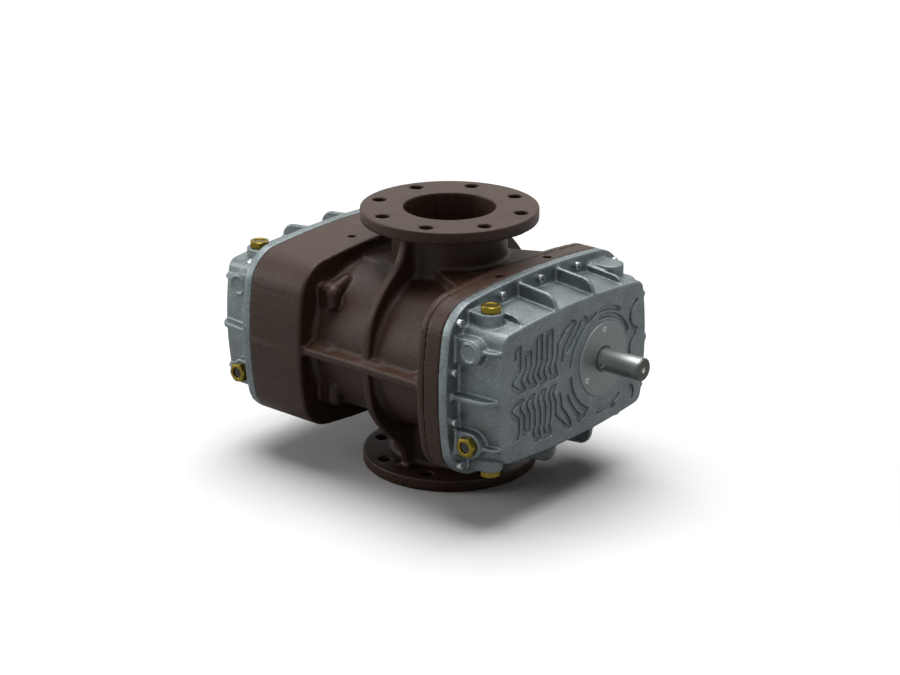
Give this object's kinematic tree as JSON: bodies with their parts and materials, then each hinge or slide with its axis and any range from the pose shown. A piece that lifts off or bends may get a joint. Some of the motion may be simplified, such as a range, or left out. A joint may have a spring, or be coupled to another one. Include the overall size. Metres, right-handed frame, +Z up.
{
  "type": "rotary lobe blower",
  "caption": "Rotary lobe blower with vertical flanged ports, twin coupled two-lobe rotors, ribbed oil covers and a keyed drive shaft end.",
  "frame": {"origin": "centre of the lower port's flange face", "axes": "+X along the rotor shafts towards the drive shaft end, +Y across the rotors towards the drive shaft, +Z up through both ports"},
  "size_m": [0.67, 0.452, 0.44],
  "materials": {
    "painted_casting": "matt brown paint over a sand casting",
    "cast_aluminium": "die cast and shot blasted, satin",
    "rubber": "black seal rubber",
    "dark_steel": "blackened steel",
    "zinc_steel": "zinc plated steel",
    "shaft_steel": "turned and ground steel",
    "bearing_steel": "ground and polished bearing steel",
    "rotor_iron": "machined cast iron",
    "brass": "turned brass",
    "glass": "clear glass over dark oil"
  },
  "bodies": {
    "housing": {"casing": "painted_casting", "side_plate": "painted_casting", "drive_cover": "cast_aluminium", "gear_cover": "cast_aluminium", "shaft_seal_cover": "cast_aluminium", "shaft_lip_seal": "rubber", "seal_cover_screws": "dark_steel", "drive_cover_screws": "zinc_steel", "gear_cover_screws": "zinc_steel", "side_plate_screws": "dark_steel", "dowel_pins": "zinc_steel", "fill_plugs": "brass", "drain_plugs": "brass", "sight_glass_bodies": "brass", "sight_glass_lenses": "glass", "front_outer_rings": "bearing_steel", "rear_outer_rings": "bearing_steel", "front_retainers": "dark_steel", "rear_retainers": "dark_steel", "retainer_screws": "dark_steel", "chamber_seals": "rubber"},
    "drive": {"drive_rotor": "rotor_iron", "drive_shaft": "shaft_steel", "drive_inner_rings": "bearing_steel", "drive_gear": "dark_steel", "drive_nuts": "dark_steel"},
    "driven": {"driven_rotor": "rotor_iron", "driven_shaft": "shaft_steel", "driven_inner_rings": "bearing_steel", "driven_gear": "dark_steel", "driven_nuts": "dark_steel", "oil_slinger": "dark_steel"},
    "cage_front_drive": {"balls_front_drive": "bearing_steel"},
    "cage_front_driven": {"balls_front_driven": "bearing_steel"},
    "cage_rear_drive": {"balls_rear_drive": "bearing_steel"},
    "cage_rear_driven": {"balls_rear_driven": "bearing_steel"}
  },
  "joints": [
    {"name": "drive_spin", "type": "hinge", "parent": "housing", "child": "drive", "pos_m": [0, 0.072, 0.22], "axis": [1, 0, 0], "continuous": true},
    {"name": "driven_spin", "type": "hinge", "parent": "housing", "child": "driven", "pos_m": [0, -0.072, 0.22], "axis": [1, 0, 0], "continuous": true},
    {"name": "cage_front_drive_spin", "type": "hinge", "parent": "housing", "child": "cage_front_drive", "pos_m": [0.1795, 0.072, 0.22], "axis": [1, 0, 0], "continuous": true},
    {"name": "cage_front_driven_spin", "type": "hinge", "parent": "housing", "child": "cage_front_driven", "pos_m": [0.1795, -0.072, 0.22], "axis": [1, 0, 0], "continuous": true},
    {"name": "cage_rear_drive_spin", "type": "hinge", "parent": "housing", "child": "cage_rear_drive", "pos_m": [-0.1525, 0.072, 0.22], "axis": [1, 0, 0], "continuous": true},
    {"name": "cage_rear_driven_spin", "type": "hinge", "parent": "housing", "child": "cage_rear_driven", "pos_m": [-0.1525, -0.072, 0.22], "axis": [1, 0, 0], "continuous": true}
  ],
  "couplings": [
    {"joint": "driven_spin", "follows": "drive_spin", "ratio": -1},
    {"joint": "cage_front_drive_spin", "follows": "drive_spin", "ratio": 0.3828},
    {"joint": "cage_rear_drive_spin", "follows": "drive_spin", "ratio": 0.3828},
    {"joint": "cage_front_driven_spin", "follows": "drive_spin", "ratio": -0.3828},
    {"joint": "cage_rear_driven_spin", "follows": "drive_spin", "ratio": -0.3828}
  ]
}
